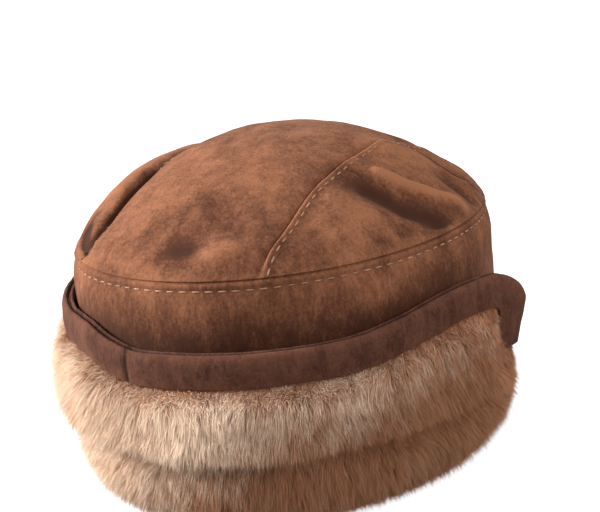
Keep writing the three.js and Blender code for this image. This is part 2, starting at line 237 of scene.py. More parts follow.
def dome_point(x, y):
    """The dome's outer face at a place in plan, and the shade painted there, less a painted highlight along
    the side panels' seams.
    """
    share = min(1.0, math.hypot(x / HALF_WIDTH, y / HALF_LENGTH))
    rise = DOME_RISE * (1 - share * share) ** DOME_EDGE_POWER
    puff = 1.6 * math.exp(-(((share - 0.93) / 0.05) ** 2)) * float(smooth((1 - share) / 0.03))
    sunk, dark = fold_at(x, y)
    ripple = 0.75 * wave(x, y, 0, 17, 3.1) + 0.22 * wave(x, y, 0, 6, 7.7)
    inner = float(smooth((1 - share) / 0.06))
    height = rise + puff - (sunk + seam_dip(x) * inner) + ripple * inner
    return Vector((x, y, SEAM_HEIGHT + max(height, 0.3 * rise))), dark - seam_lip_highlight(x)


def band_offset(height):
    """The band swells a little above the flap and draws in towards its foot."""
    belly = BAND_BELLY * float(smooth((height - FLAP_FOOT) / 35) * smooth((SEAM_HEIGHT - height) / 14))
    return belly - BAND_TAPER * (1 - float(smooth(height / BAND_TAPER_HEIGHT)))


def flap_top(arc):
    """Height of the flap's bound edge, which climbs towards the temples."""
    right = smooth((arc - RISE_RIGHT["from"]) / RISE_RIGHT["over"])
    left = smooth((-arc - RISE_LEFT["from"]) / RISE_LEFT["over"])
    return FLAP_TOP + FLAP_RISE * float(max(right, left))


def flap_offset(arc, height):
    """How far the flap stands off the crown ring. Past the ear it runs straight on, less so at its foot."""
    share = max(0.0, min(1.0, (abs(arc) - FLARE_START) / (FLAP_END - FLARE_START)))
    drawn = FLARE_DRAW * max(0.0, min(1.0, (FLARE_HEIGHT - height) / (FLARE_HEIGHT - FLAP_FOOT)))
    return FLAP_STAND_OFF + FLARE * (1 - drawn) * share * share


def on_flap(arc, height, out):
    """A point on the flap, out from the middle of its skin."""
    return around(arc / ARC_RADIUS, flap_offset(arc, height) + out, height)


def edge_distance(arc, height):
    """Distance from the flap's bound edge, which turns down at each end in a round corner."""
    from_end = FLAP_END - abs(arc)
    from_top = flap_top(arc) - height
    if from_end >= CORNER_RADIUS or from_top >= CORNER_RADIUS:
        return min(from_end, from_top)
    return CORNER_RADIUS - math.hypot(CORNER_RADIUS - from_end, CORNER_RADIUS - from_top)


def edge_stations(run_steps, corner_steps):
    """Stations along the flap's edge: arc length, drop from the top edge, and the way inwards."""
    right = []
    for k in range(corner_steps + 1):
        turn = k / corner_steps * math.pi / 2
        arc = FLAP_END - CORNER_RADIUS + CORNER_RADIUS * math.sin(turn)
        drop = CORNER_RADIUS - CORNER_RADIUS * math.cos(turn)
        right.append((arc, drop, -math.sin(turn), math.cos(turn)))
    leg = FLAP_TOP + FLAP_RISE - LEG_FOOT
    for k in range(1, 7):
        right.append((FLAP_END, CORNER_RADIUS + (leg - CORNER_RADIUS) * k / 6, -1.0, 0.0))
    left = [(-arc, drop, -in_arc, in_down) for arc, drop, in_arc, in_down in reversed(right)]
    reach = FLAP_END - CORNER_RADIUS
    run = [(-reach + 2 * reach * k / run_steps, 0.0, 0.0, 1.0) for k in range(1, run_steps)]
    return left + run + right


def to_metres(point):
    """From millimetres about the crown ring to the frame."""
    return Vector(point) * MM + RING_CENTRE


def grid_mesh(name, rows, close_rows=False, close_columns=False, marks=None, mark_name="sunk"):
    """A mesh of quads through rows of points, with a value for each point in a named attribute."""
    width = len(rows[0])
    mesh = bpy.data.meshes.new(name)
    points = [to_metres(point) for row in rows for point in row]
    faces = []
    row_steps = len(rows) if close_rows else len(rows) - 1
    column_steps = width if close_columns else width - 1
    for r in range(row_steps):
        above = (r + 1) % len(rows)
        for c in range(column_steps):
            beside = (c + 1) % width
            faces.append((r * width + c, r * width + beside, above * width + beside, above * width + c))
    mesh.from_pydata(points, [], faces)
    if marks is not None:
        layer = mesh.attributes.new(mark_name, "FLOAT", "POINT")
        layer.data.foreach_set("value", [float(mark) for row in marks for mark in row])
    return mesh


def tidy_mesh(mesh, closed=False):
    """Merges doubled points and turns the faces outwards."""
    work = bmesh.new()
    work.from_mesh(mesh)
    bmesh.ops.remove_doubles(work, verts=work.verts, dist=0.02 * MM)
    bmesh.ops.dissolve_degenerate(work, edges=work.edges, dist=0.005 * MM)
    bmesh.ops.recalc_face_normals(work, faces=work.faces)
    if not closed:
        middle = sum((v.co for v in work.verts), Vector()) / len(work.verts)
        inside = RING_CENTRE + Vector((0, 0, middle.z / 2))
        lean = sum(face.normal.dot(face.calc_center_median() - inside) for face in work.faces)
        if lean < 0:
            bmesh.ops.reverse_faces(work, faces=work.faces)
    work.to_mesh(mesh)
    work.free()


def add_piece(mesh, material, stands_for=(), smooth_faces=True):
    """Puts a finished mesh in the scene as a piece of the hat."""
    piece = bpy.data.objects.new(mesh.name, mesh)
    bpy.context.collection.objects.link(piece)
    if not mesh.materials:
        mesh.materials.append(material)
    if smooth_faces:
        mesh.shade_smooth()
    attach(piece, BODY)
    if stands_for:
        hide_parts(*stands_for)
    return piece


def thicken(piece, thickness):
    """Gives a sheet its leather thickness on the inner side."""
    wall = piece.modifiers.new("Leather thickness", "SOLIDIFY")
    wall.thickness = thickness * MM
    wall.offset = -1.0
    wall.use_even_offset = False


# Node helpers


def add_node(tree, kind, values=None, **settings):
    """A node with its settings and the values of its named or numbered inputs."""
    made = tree.nodes.new(kind)
    for key, value in settings.items():
        setattr(made, key, value)
    for key, value in (values or {}).items():
        if isinstance(value, bpy.types.NodeSocket):
            tree.links.new(value, made.inputs[key])
        else:
            made.inputs[key].default_value = value
    return made


def maths(tree, operation, first, second=0.0):
    """One sum on two values."""
    return add_node(tree, "ShaderNodeMath", {0: first, 1: second}, operation=operation).outputs[0]


def vector_maths(tree, operation, first, second):
    """One sum on two vectors."""
    return add_node(tree, "ShaderNodeVectorMath", {0: first, 1: second}, operation=operation).outputs[0]


def scaled(tree, vector, amount):
    """A vector times a value."""
    made = add_node(tree, "ShaderNodeVectorMath", {0: vector, "Scale": amount}, operation="SCALE")
    return made.outputs[0]


def named_value(tree, name):
    """A value that the geometry carries under a name."""
    return add_node(tree, "GeometryNodeInputNamedAttribute", {"Name": name}, data_type="FLOAT").outputs[0]


def store_value(tree, geometry, name, value, domain):
    """Gives the geometry a value under a name."""
    made = add_node(
        tree,
        "GeometryNodeStoreNamedAttribute",
        {"Geometry": geometry, "Name": name, "Value": value},
        data_type="FLOAT",
        domain=domain,
    )
    return made.outputs[0]


def set_material(tree, geometry, material):
    """The geometry in a material."""
    return add_node(tree, "GeometryNodeSetMaterial", {"Geometry": geometry, "Material": material}).outputs[0]


def carried(tree, name):
    """A value that the surface carries under a name, for a shader."""
    return add_node(tree, "ShaderNodeAttribute", attribute_name=name).outputs["Fac"]


def weighted_sum(tree, *parts):
    """The sum of some values, each times its weight."""
    total = None
    for value, weight in parts:
        part = maths(tree, "MULTIPLY", value, weight)
        total = part if total is None else maths(tree, "ADD", total, part)
    return total


def bump_normal(tree, height, strength, distance):
    """A normal from a height, with a distance in millimetres."""
    values = {"Strength": strength, "Distance": distance * MM, "Height": height}
    return add_node(tree, "ShaderNodeBump", values).outputs[0]


def mix_colour(tree, share, first, second, blend="MIX"):
    """One colour laid over another."""
    made = add_node(tree, "ShaderNodeMix", data_type="RGBA", blend_type=blend)
    for socket, value in zip((made.inputs[0], made.inputs[6], made.inputs[7]), (share, first, second)):
        if isinstance(value, bpy.types.NodeSocket):
            tree.links.new(value, socket)
        else:
            socket.default_value = value
    return made.outputs[2]


def ramp(tree, value, low, high, to_low=0.0, to_high=1.0):
    """A value moved from one range to another and held there."""
    made = add_node(
        tree,
        "ShaderNodeMapRange",
        {"Value": value, "From Min": low, "From Max": high, "To Min": to_low, "To Max": to_high},
        interpolation_type="SMOOTHSTEP",
    )
    return made.outputs[0]


def noise_value(tree, vector, size, detail=3.0, roughness=0.55, distortion=0.0):
    """Noise from 0 to 1 at a size in millimetres."""
    made = add_node(
        tree,
        "ShaderNodeTexNoise",
        {
            "Vector": vector,
            "Scale": 1 / (size * MM),
            "Detail": detail,
            "Roughness": roughness,
            "Distortion": distortion,
        },
    )
    return made.outputs[0]


def group_tree(name, kind, inputs, outputs):
    """An empty node group with named sockets, and its two end nodes."""
    tree = bpy.data.node_groups.new(name, kind)
    for label, socket, default in inputs:
        made = tree.interface.new_socket(label, in_out="INPUT", socket_type=socket)
        if default is not None:
            made.default_value = default
    for label, socket in outputs:
        tree.interface.new_socket(label, in_out="OUTPUT", socket_type=socket)
    return tree, tree.nodes.new("NodeGroupInput"), tree.nodes.new("NodeGroupOutput")


# Materials


def nap_group():
    """Napped leather: patches where the nap lies another way, mottling, fine fibres, and shade painted from
    the Sunk value.
    """
    found = bpy.data.node_groups.get("Suede nap")
    if found:
        return found
    tree, given, result = group_tree(
        "Suede nap",
        "ShaderNodeTree",
        [
            ("Light", "NodeSocketColor", (0.36, 0.16, 0.09, 1)),
            ("Dark", "NodeSocketColor", (0.11, 0.04, 0.022, 1)),
            ("Sunk", "NodeSocketFloat", 0.0),
        ],
        [("Colour", "NodeSocketColor"), ("Height", "NodeSocketFloat")],
    )
    place = add_node(tree, "ShaderNodeTexCoord").outputs["Object"]
    hanging = vector_maths(tree, "MULTIPLY", place, (1.0, 1.0, 0.42))
    patches = noise_value(tree, place, 34, 2.0, 0.6, 0.6)
    brushed = noise_value(tree, hanging, 7, 4.0, 0.65, 0.5)
    streaks = noise_value(tree, hanging, 1.5, 3.0, 0.7)
    fibres = noise_value(tree, place, 1.1, 2.0, 0.7)
    sunk = given.outputs["Sunk"]
    # The Sunk value is painted shade: above zero it pulls the nap towards the dark colour, below zero
    # towards the light one.
    nap_and_shade_weights = ((patches, 0.32), (brushed, 0.34), (streaks, 0.24), (fibres, 0.2), (sunk, -0.026))
    tone = weighted_sum(tree, *nap_and_shade_weights)
    share = ramp(tree, tone, 0.37, 0.74)
    colour = mix_colour(tree, share, given.outputs["Dark"], given.outputs["Light"])
    # Painted shade: high Sunk values darken the colour further.
    colour = scaled(tree, colour, ramp(tree, sunk, 2.5, 6.5, 1.0, 0.6))
    height = weighted_sum(tree, (fibres, 0.6), (streaks, 0.7))
    tree.links.new(colour, result.inputs["Colour"])
    tree.links.new(height, result.inputs["Height"])
    return tree


def new_material(name):
    """A material with only its shader and output."""
    material = bpy.data.materials.new(name)
    material.use_nodes = True
    tree = material.node_tree
    return material, tree, tree.nodes["Principled BSDF"]


def suede_material(name, light, dark):
    """Suede with a soft sheen."""
    material, tree, shader = new_material(name)
    nap = add_node(tree, "ShaderNodeGroup", node_tree=nap_group())
    nap.inputs["Light"].default_value = (*light, 1)
    nap.inputs["Dark"].default_value = (*dark, 1)
    # The carried sunk value holds the shade and highlight painted on each piece.
    tree.links.new(carried(tree, "sunk"), nap.inputs["Sunk"])
    tree.links.new(nap.outputs["Colour"], shader.inputs["Base Color"])
    tree.links.new(bump_normal(tree, nap.outputs["Height"], 0.5, 0.5), shader.inputs["Normal"])
    shader.inputs["Roughness"].default_value = 0.95
    shader.inputs["Specular IOR Level"].default_value = 0.12
    shader.inputs["Sheen Weight"].default_value = 0.06
    shader.inputs["Sheen Roughness"].default_value = 0.45
    shader.inputs["Sheen Tint"].default_value = (0.9, 0.62, 0.46, 1)
    return material


def thread_material(colour):
    """Waxed thread with a faint twist."""
    material, tree, shader = new_material("Topstitch thread")
    place = add_node(tree, "ShaderNodeTexCoord").outputs["Object"]
    twist = noise_value(tree, place, 0.8, 2.0)
    worn = noise_value(tree, place, 14, 2.0)
    soiled = tuple(channel * 0.5 for channel in colour)
    share = ramp(tree, weighted_sum(tree, (twist, 0.4), (worn, 1.0)), 0.45, 0.85)
    tree.links.new(mix_colour(tree, share, (*soiled, 1), (*colour, 1)), shader.inputs["Base Color"])
    tree.links.new(bump_normal(tree, twist, 0.4, 0.2), shader.inputs["Normal"])
    shader.inputs["Roughness"].default_value = 0.6
    return material


def fur_material(name, tip, root):
    """Fur that is dark at the root and pale at the tip, in patches, with painted light paler towards +X and
    the top, and painted shade where strands are sheared short.
    """
    material, tree, shader = new_material(name)
    place = add_node(tree, "ShaderNodeTexCoord").outputs["Object"]
    patches = noise_value(tree, place, 22, 3.0, 0.6)
    where = add_node(tree, "ShaderNodeSeparateXYZ", {0: place})
    # Painted light: paler towards +X, where the key lamp stands, and towards the top, darker low down.
    painted_light_slope = weighted_sum(tree, (where.outputs[0], 1.0), (where.outputs[2], 2.0))
    share = weighted_sum(
        tree,
        (carried(tree, "along"), 0.6),
        (carried(tree, "tone"), 0.55),
        (patches, 0.85),
        # Painted shade: strands sheared short are darker.
        (carried(tree, "shear_and_shade"), 0.6),
        (ramp(tree, painted_light_slope, -0.03, 0.08, -0.25, 0.5), 1.0),
    )
    share = ramp(tree, share, 1.5, 2.4)
    tree.links.new(mix_colour(tree, share, (*root, 1), (*tip, 1)), shader.inputs["Base Color"])
    shader.inputs["Roughness"].default_value = 0.8
    shader.inputs["Specular IOR Level"].default_value = 0.08
    return material


def bed_material(tip, root):
    """The dense wool under the longer strands."""
    material, tree, shader = new_material("Fur bed")
    place = add_node(tree, "ShaderNodeTexCoord").outputs["Object"]
    wool = noise_value(tree, place, 2.2, 4.0, 0.7)
    patches = noise_value(tree, place, 26, 3.0, 0.6)
    share = ramp(tree, weighted_sum(tree, (wool, 0.6), (patches, 0.3)), 0.3, 1.1)
    tree.links.new(mix_colour(tree, share, (*root, 1), (*tip, 1)), shader.inputs["Base Color"])
    tree.links.new(bump_normal(tree, wool, 0.8, 1.5), shader.inputs["Normal"])
    shader.inputs["Roughness"].default_value = 0.95
    return material


# Geometry node trees


def strand_tree():
    """Strands of fur over a patch: leaning, gathered into tufts, and never below the floor."""
    found = bpy.data.node_groups.get("Fur strands")
    if found:
        return found
    tree, given, result = group_tree(
        "Fur strands",
        "GeometryNodeTree",
        [
            ("Patch", "NodeSocketGeometry", None),
            ("Density", "NodeSocketFloat", 1e6),
            ("Length", "NodeSocketFloat", 0.011),
            ("Radius", "NodeSocketFloat", 0.0002),
            ("Stand", "NodeSocketFloat", 0.9),
            ("Comb", "NodeSocketVector", (0.0, 0.0, -0.62)),
            ("Tuft size", "NodeSocketFloat", 0.0038),
            ("Gather", "NodeSocketFloat", 0.28),
            ("Curl", "NodeSocketFloat", 0.35),
            ("Segments", "NodeSocketInt", 2),
            ("Seed", "NodeSocketInt", 0),
            ("Material", "NodeSocketMaterial", None),
        ],
        [("Fur", "NodeSocketGeometry")],
    )
    inputs = given.outputs
    roots = add_node(
        tree,
        "GeometryNodeDistributePointsOnFaces",
        {"Mesh": inputs["Patch"], "Density": inputs["Density"], "Seed": inputs["Seed"]},
        distribute_method="RANDOM",
    )
    place = add_node(tree, "GeometryNodeInputPosition").outputs[0]
    tuft = add_node(
        tree,
        "ShaderNodeTexVoronoi",
        {"Vector": place, "Scale": maths(tree, "DIVIDE", 1.0, inputs["Tuft size"])},
    )
    inward = vector_maths(tree, "SUBTRACT", tuft.outputs["Position"], place)
    gather = scaled(tree, inward, maths(tree, "DIVIDE", inputs["Gather"], inputs["Length"]))
    swirl = add_node(tree, "ShaderNodeTexNoise", {"Vector": place, "Scale": 42.0, "Detail": 2.0})
    drift = scaled(tree, vector_maths(tree, "SUBTRACT", swirl.outputs["Color"], (0.5, 0.5, 0.5)), 1.9)
    tilt = scaled(tree, vector_maths(tree, "SUBTRACT", tuft.outputs["Color"], (0.5, 0.5, 0.5)), 0.45)
    stray = add_node(tree, "FunctionNodeRandomValue", data_type="FLOAT_VECTOR")
    stray.inputs[0].default_value = (-0.3, -0.3, -0.3)
    stray.inputs[1].default_value = (0.3, 0.3, 0.3)
    tree.links.new(inputs["Seed"], stray.inputs["Seed"])
    way = scaled(tree, roots.outputs["Normal"], inputs["Stand"])
    for part in (inputs["Comb"], gather, drift, tilt, stray.outputs[0]):
        way = vector_maths(tree, "ADD", way, part)
    turned = add_node(tree, "FunctionNodeAlignRotationToVector", {"Vector": way}, axis="Z")
    spin = add_node(tree, "FunctionNodeRandomValue", data_type="FLOAT")
    spin.inputs[2].default_value = -0.7
    spin.inputs[3].default_value = 0.7
    about = add_node(tree, "FunctionNodeAxisAngleToRotation", {"Axis": (0, 0, 1), "Angle": spin.outputs[1]})
    rotation = add_node(
        tree,
        "FunctionNodeRotateRotation",
        {"Rotation": turned.outputs[0], "Rotate By": about.outputs[0]},
        rotation_space="LOCAL",
    )
    cone = add_node(
        tree,
        "GeometryNodeMeshCone",
        {
            "Vertices": 3,
            "Side Segments": inputs["Segments"],
            "Radius Top": 0.0,
            "Radius Bottom": 1.0,
            "Depth": 1.0,
        },
        fill_type="NONE",
    )
    rise = add_node(tree, "ShaderNodeSeparateXYZ", {0: place}).outputs[2]
    marked = store_value(tree, cone.outputs["Mesh"], "along", rise, "POINT")
    varied = add_node(tree, "FunctionNodeRandomValue", data_type="FLOAT")
    varied.inputs[2].default_value = 0.58
    varied.inputs[3].default_value = 1.2
    varied.inputs["Seed"].default_value = 3
    sheared = maths(tree, "MULTIPLY", inputs["Length"], named_value(tree, "shear_and_shade"))
    long = maths(tree, "MULTIPLY", sheared, varied.outputs[1])
    size = add_node(tree, "ShaderNodeCombineXYZ", {0: inputs["Radius"], 1: inputs["Radius"], 2: long})
    strands = add_node(
        tree,
        "GeometryNodeInstanceOnPoints",
        {
            "Points": roots.outputs["Points"],
            "Instance": marked,
            "Rotation": rotation.outputs[0],
            "Scale": size.outputs[0],
        },
    )
    shade = add_node(tree, "FunctionNodeRandomValue", data_type="FLOAT")
    shade.inputs["Seed"].default_value = 9
    tuft_shade = add_node(tree, "ShaderNodeSeparateXYZ", {0: tuft.outputs["Color"]}).outputs[0]
    tone = weighted_sum(tree, (shade.outputs[1], 0.5), (tuft_shade, 0.5))
    toned = store_value(tree, strands.outputs[0], "tone", tone, "INSTANCE")
    measured = store_value(tree, toned, "reach", long, "INSTANCE")
    plain = add_node(tree, "GeometryNodeRealizeInstances", {0: measured})
    along = named_value(tree, "along")
    downwards = maths(tree, "MULTIPLY", inputs["Curl"], -1.0)
    sag = maths(tree, "MULTIPLY", maths(tree, "MULTIPLY", along, along), downwards)
    sag = maths(tree, "MULTIPLY", sag, named_value(tree, "reach"))
    fallen = add_node(tree, "ShaderNodeCombineXYZ", {2: sag}).outputs[0]
    bent = add_node(tree, "GeometryNodeSetPosition", {"Geometry": plain.outputs[0], "Offset": fallen})
    x_y_z = add_node(tree, "ShaderNodeSeparateXYZ", {0: place})
    above = maths(tree, "MAXIMUM", x_y_z.outputs[2], 0.3 * MM)
    floored = add_node(tree, "ShaderNodeCombineXYZ", {0: x_y_z.outputs[0], 1: x_y_z.outputs[1], 2: above})
    lifted = {"Geometry": bent.outputs[0], "Position": floored.outputs[0]}
    held = add_node(tree, "GeometryNodeSetPosition", lifted).outputs[0]
    crisp = add_node(tree, "GeometryNodeSetShadeSmooth", {"Geometry": held, "Shade Smooth": False})
    painted = set_material(tree, crisp.outputs[0], inputs["Material"])
    tree.links.new(painted, result.inputs["Fur"])
    return tree


def stitch_tree():
    """Stitches at an even pitch along a row of edges."""
    found = bpy.data.node_groups.get("Topstitches")
    if found:
        return found
    tree, given, result = group_tree(
        "Topstitches",
        "GeometryNodeTree",
        [
            ("Row", "NodeSocketGeometry", None),
            ("Pitch", "NodeSocketFloat", 0.0054),
            ("Stitch length", "NodeSocketFloat", 0.0034),
            ("Thread", "NodeSocketFloat", 0.0006),
            ("Material", "NodeSocketMaterial", None),
        ],
        [("Stitches", "NodeSocketGeometry")],
    )
    inputs = given.outputs
    curve = add_node(tree, "GeometryNodeMeshToCurve", {0: inputs["Row"]})
    spaced = {"Curve": curve.outputs[0], "Length": inputs["Pitch"]}
    points = add_node(tree, "GeometryNodeCurveToPoints", spaced, mode="LENGTH")
    tangent = points.outputs["Tangent"]
    turned = add_node(tree, "FunctionNodeAlignRotationToVector", {"Vector": tangent}, axis="X")
    bead = add_node(tree, "GeometryNodeMeshUVSphere", {"Segments": 8, "Rings": 6, "Radius": 0.5})
    size = add_node(
        tree, "ShaderNodeCombineXYZ", {0: inputs["Stitch length"], 1: inputs["Thread"], 2: inputs["Thread"]}
    )
    placed = add_node(
        tree,
        "GeometryNodeInstanceOnPoints",
        {
            "Points": points.outputs["Points"],
            "Instance": bead.outputs["Mesh"],
            "Rotation": turned.outputs[0],
            "Scale": size.outputs[0],
        },
    )
    plain = add_node(tree, "GeometryNodeRealizeInstances", {0: placed.outputs[0]})
    soft = add_node(tree, "GeometryNodeSetShadeSmooth", {0: plain.outputs[0]})
    painted = set_material(tree, soft.outputs[0], inputs["Material"])
    tree.links.new(painted, result.inputs["Stitches"])
    return tree


def grow(mesh, tree, values):
    """Runs a geometry tree on a mesh and gives back the plain mesh that it makes."""
    source = bpy.data.objects.new(mesh.name, mesh)
    bpy.context.collection.objects.link(source)
    modifier = source.modifiers.new("Grow", "NODES")
    modifier.node_group = tree
    for item in tree.interface.items_tree:
        if item.item_type == "SOCKET" and item.in_out == "INPUT" and item.name in values:
            modifier[item.identifier] = values[item.name]
    graph = bpy.context.evaluated_depsgraph_get()
    grown = source.evaluated_get(graph)
    made = bpy.data.meshes.new_from_object(grown, preserve_all_data_layers=True, depsgraph=graph)
    name = mesh.name
    bpy.data.objects.remove(source)
    bpy.data.meshes.remove(mesh)
    made.name = name
    return made


# Properties


class HatColours(bpy.types.PropertyGroup):
    """Colours of the suede, thread and fur."""

    suede_light: bpy.props.FloatVectorProperty(
        name="Suede light", description="Nap brushed up", subtype="COLOR", default=(0.278, 0.11, 0.054)
    )
    suede_dark: bpy.props.FloatVectorProperty(
        name="Suede dark", description="Nap brushed down", subtype="COLOR", default=(0.07, 0.0238, 0.0123)
    )
    binding_light: bpy.props.FloatVectorProperty(
        name="Binding light", description="Brushed up", subtype="COLOR", default=(0.138, 0.054, 0.033)
    )
    binding_dark: bpy.props.FloatVectorProperty(
        name="Binding dark", description="Brushed down", subtype="COLOR", default=(0.037, 0.0135, 0.0088)
    )
    thread: bpy.props.FloatVectorProperty(
        name="Thread", description="Topstitching", subtype="COLOR", default=(0.38, 0.205, 0.118)
    )
    fur_tip: bpy.props.FloatVectorProperty(
        name="Fur tip", description="Pale ends of the strands", subtype="COLOR", default=(0.95, 0.77, 0.6)
    )
    fur_root: bpy.props.FloatVectorProperty(
        name="Fur root", description="Dark wool near the skin", subtype="COLOR", default=(0.42, 0.197, 0.104)
    )


class HatSizes(bpy.types.PropertyGroup):
    """Sizes of the leather, stitches and fur."""

    leather: bpy.props.FloatProperty(
        name="Leather", description="Leather thickness in millimetres", default=1.8, min=1, max=3
    )
    stitch_pitch: bpy.props.FloatProperty(
        name="Stitch pitch", description="From one stitch to the next", default=0.0054, unit="LENGTH"
    )
    stitch_length: bpy.props.FloatProperty(
        name="Stitch length", description="Length of thread that shows", default=0.0036, unit="LENGTH"
    )
    thread: bpy.props.FloatProperty(
        name="Thread", description="Thickness of the thread", default=0.0007, unit="LENGTH"
    )
    fur_length: bpy.props.FloatProperty(
        name="Fur length", description="Length of the longer strands", default=0.0089, unit="LENGTH"
    )
    fur_radius: bpy.props.FloatProperty(
        name="Fur radius", description="Half thickness at the root", default=0.000165, unit="LENGTH"
    )
    fur_density: bpy.props.FloatProperty(
        name="Fur density", description="Longer strands on each square metre", default=0.4e6
    )
    wool_density: bpy.props.FloatProperty(
        name="Wool density", description="Short strands on each square metre", default=3.4e6
    )


def materials():
    """The hat's materials, each made once."""
    colours = bpy.context.scene.hat_colours
    made = bpy.data.materials
    if "Crown suede" not in made:
        suede_material("Crown suede", colours.suede_light, colours.suede_dark)
        suede_material("Binding suede", colours.binding_light, colours.binding_dark)
        thread_material(colours.thread)
        fur_material("Fur strands", colours.fur_tip, colours.fur_root)
        bed_material(colours.fur_tip, colours.fur_root)
    return made


# Operators


class HAT_OT_crown_panels(bpy.types.Operator):
    """Build the three folded suede panels of the dome"""

    bl_idname = "hat.crown_panels"
    bl_label = "Crown panels"

    def execute(self, context):
        suede = materials()["Crown suede"]
        leather = context.scene.hat_sizes.leather
        for name, rows in (
            ("crown_middle_panel", self.middle_plan()),
            ("crown_left_panel", self.side_plan(1)),
            ("crown_right_panel", self.side_plan(-1)),
        ):
            shaped = [[dome_point(*place) for place in row] for row in rows]
            points = [[point for point, _ in row] for row in shaped]
            # The second value is the painted shade of the folds, less the painted highlight along the seams.
            marks = [[sunk for _, sunk in row] for row in shaped]
            mesh = grid_mesh("dressed_" + name, points, marks=marks)
            tidy_mesh(mesh)
            panel = add_piece(mesh, suede, [name])
            thicken(panel, leather)
        return {"FINISHED"}

    @staticmethod
    def middle_plan(columns=60, rows=136):
        """Places in plan over the middle panel, packed closer near its ends."""
        plan = []
        for r in range(rows + 1):
            share = math.sin((r / rows - 0.5) * math.pi)
            across = []
            for c in range(columns + 1):
                x = PANEL_HALF_WIDTH * (2 * c / columns - 1)
                reach = HALF_LENGTH * math.sqrt(1 - (x / HALF_WIDTH) ** 2)
                across.append((x, reach * share))
            plan.append(across)
        return plan

    @staticmethod
    def side_plan(side, columns=44, rows=130):
        """Places in plan over a side panel, from its straight seam out to the ring."""
        seam_x = PANEL_HALF_WIDTH - 0.1
        seam_reach = HALF_LENGTH * math.sqrt(1 - (seam_x / HALF_WIDTH) ** 2)
        corner = math.asin(seam_x / HALF_WIDTH)
        plan = []
        for r in range(rows + 1):
            angle = corner + (math.pi - 2 * corner) * r / rows
            rim = Vector((HALF_WIDTH * math.sin(angle), HALF_LENGTH * math.cos(angle)))
            start = Vector((seam_x, seam_reach * math.cos(math.pi * r / rows)))
            across = []
            for c in range(columns + 1):
                place = start.lerp(rim, float(smooth(c / columns)))
                across.append((side * place.x, place.y))
            plan.append(across)
        return plan


class HAT_OT_band(bpy.types.Operator):
    """Build the upright suede band under the ring seam"""

    bl_idname = "hat.band"
    bl_label = "Band"

    def execute(self, context):
        rows = []
        marks = []
        steps = 260
        heights = list(np.linspace(BAND_FOOT, SEAM_HEIGHT - 8, 40))
        heights += list(np.linspace(SEAM_HEIGHT - 7, SEAM_HEIGHT - 0.3, 16))
        angles = [2 * math.pi * k / steps for k in range(steps)]
        for height in heights:
            rows.append([self.point(angle, height) for angle in angles])
            # Painted shade: darker towards the foot of the band, most at the back and none at the front.
            painted_band_shade = 5.4 * float(smooth((SEAM_HEIGHT - 4 - height) / 24))
            marks.append([painted_band_shade * float(smooth(0.5 + math.cos(angle))) for angle in angles])
        mesh = grid_mesh("dressed_crown_band", rows, close_columns=True, marks=marks)
        tidy_mesh(mesh)
        band = add_piece(mesh, materials()["Crown suede"], ["crown_band"])
        thicken(band, context.scene.hat_sizes.leather)
        return {"FINISHED"}

    @staticmethod
    def point(angle, height):
        """The band's face, padded between the ring seam and its topstitch."""
        below = SEAM_HEIGHT - height
        roll = -1.5 * math.exp(-((below / 0.9) ** 2))
        padded = 0.45 * math.exp(-(((below - 2.2) / 1.3) ** 2))
        row_dip = -0.35 * math.exp(-(((below - 4.2) / 0.9) ** 2))
        base = around(angle, 0, height)
        slack = float(smooth((height - FLAP_TOP + 4) / 10))
        ripple = 0.7 * wave(base.x, base.y, height, 24, 5.3) + 0.2 * wave(base.x, base.y, height, 8, 1.9)
        return around(angle, band_offset(height) + roll + padded + row_dip + ripple * slack, height)


class HAT_OT_binding(bpy.types.Operator):
    """Build the suede binding folded over the flap's edge"""

    bl_idname = "hat.binding"
    bl_label = "Flap binding"

    def execute(self, context):
        rings = []
        marks = []
        for arc, drop, in_arc, in_down in edge_stations(240, 14):
            ring = []
            join = math.exp(-(((arc - BINDING_JOIN) / 1.1) ** 2))
            for point in BINDING_SECTION:
                out = point["out"]
                at = arc + in_arc * point["inward"]
                height = flap_top(at) - drop - in_down * point["inward"]
                soft = 0.45 * wave(at, height, out, 14, 2.2) + 0.25 * wave(at, height, out, 5, 8.1)
                dent = join if out > 2 else 0
                ring.append(on_flap(at, height, out + soft - dent))
            rings.append(ring)
            # Painted shade and highlight of the section with its pale raw edge, and a darker line along the
            # join.
            marks.append([point["dark"] + 7.0 * join for point in BINDING_SECTION])
        mesh = grid_mesh("dressed_flap_binding", rings, marks=marks)
        tidy_mesh(mesh)
        binding = add_piece(mesh, materials()["Binding suede"], ["flap_binding"])
        thicken(binding, BINDING_LEATHER)
        return {"FINISHED"}


class HAT_OT_stitching(bpy.types.Operator):
    """Sew the rows of topstitches"""

    bl_idname = "hat.stitching"
    bl_label = "Topstitching"

    def execute(self, context):
        sizes = context.scene.hat_sizes
        rows = [("stitches_ring_seam", self.ring_row())]
        rows += [("stitches_right_seam", self.seam_row(-1)), ("stitches_left_seam", self.seam_row(1))]
        for name, row in rows:
            mesh = bpy.data.meshes.new(name)
            mesh.from_pydata([to_metres(p) for p in row], [(k, k + 1) for k in range(len(row) - 1)], [])
            values = {
                "Pitch": sizes.stitch_pitch,
                "Stitch length": sizes.stitch_length,
                "Thread": sizes.thread,
                "Material": materials()["Topstitch thread"],
            }
            add_piece(grow(mesh, stitch_tree(), values), None)
        return {"FINISHED"}

    @staticmethod
    def ring_row():
        """Round the band, just under the ring seam."""
        row = []
        for k in range(361):
            point = HAT_OT_band.point(math.radians(k), SEAM_HEIGHT - 4.2)
            row.append(point + 0.1 * Vector((point.x, point.y, 0)).normalized())
        return row

    @staticmethod
    def seam_row(side):
        """Beside a long seam, on the side panel."""
        x = side * (PANEL_HALF_WIDTH + 3.2)
        reach = HALF_LENGTH * math.sqrt(1 - (x / HALF_WIDTH) ** 2) - 1.5
        places = [reach * (2 * k / 240 - 1) for k in range(241)]
        return [dome_point(x, y)[0] + Vector((0, 0, 0.2)) for y in places]


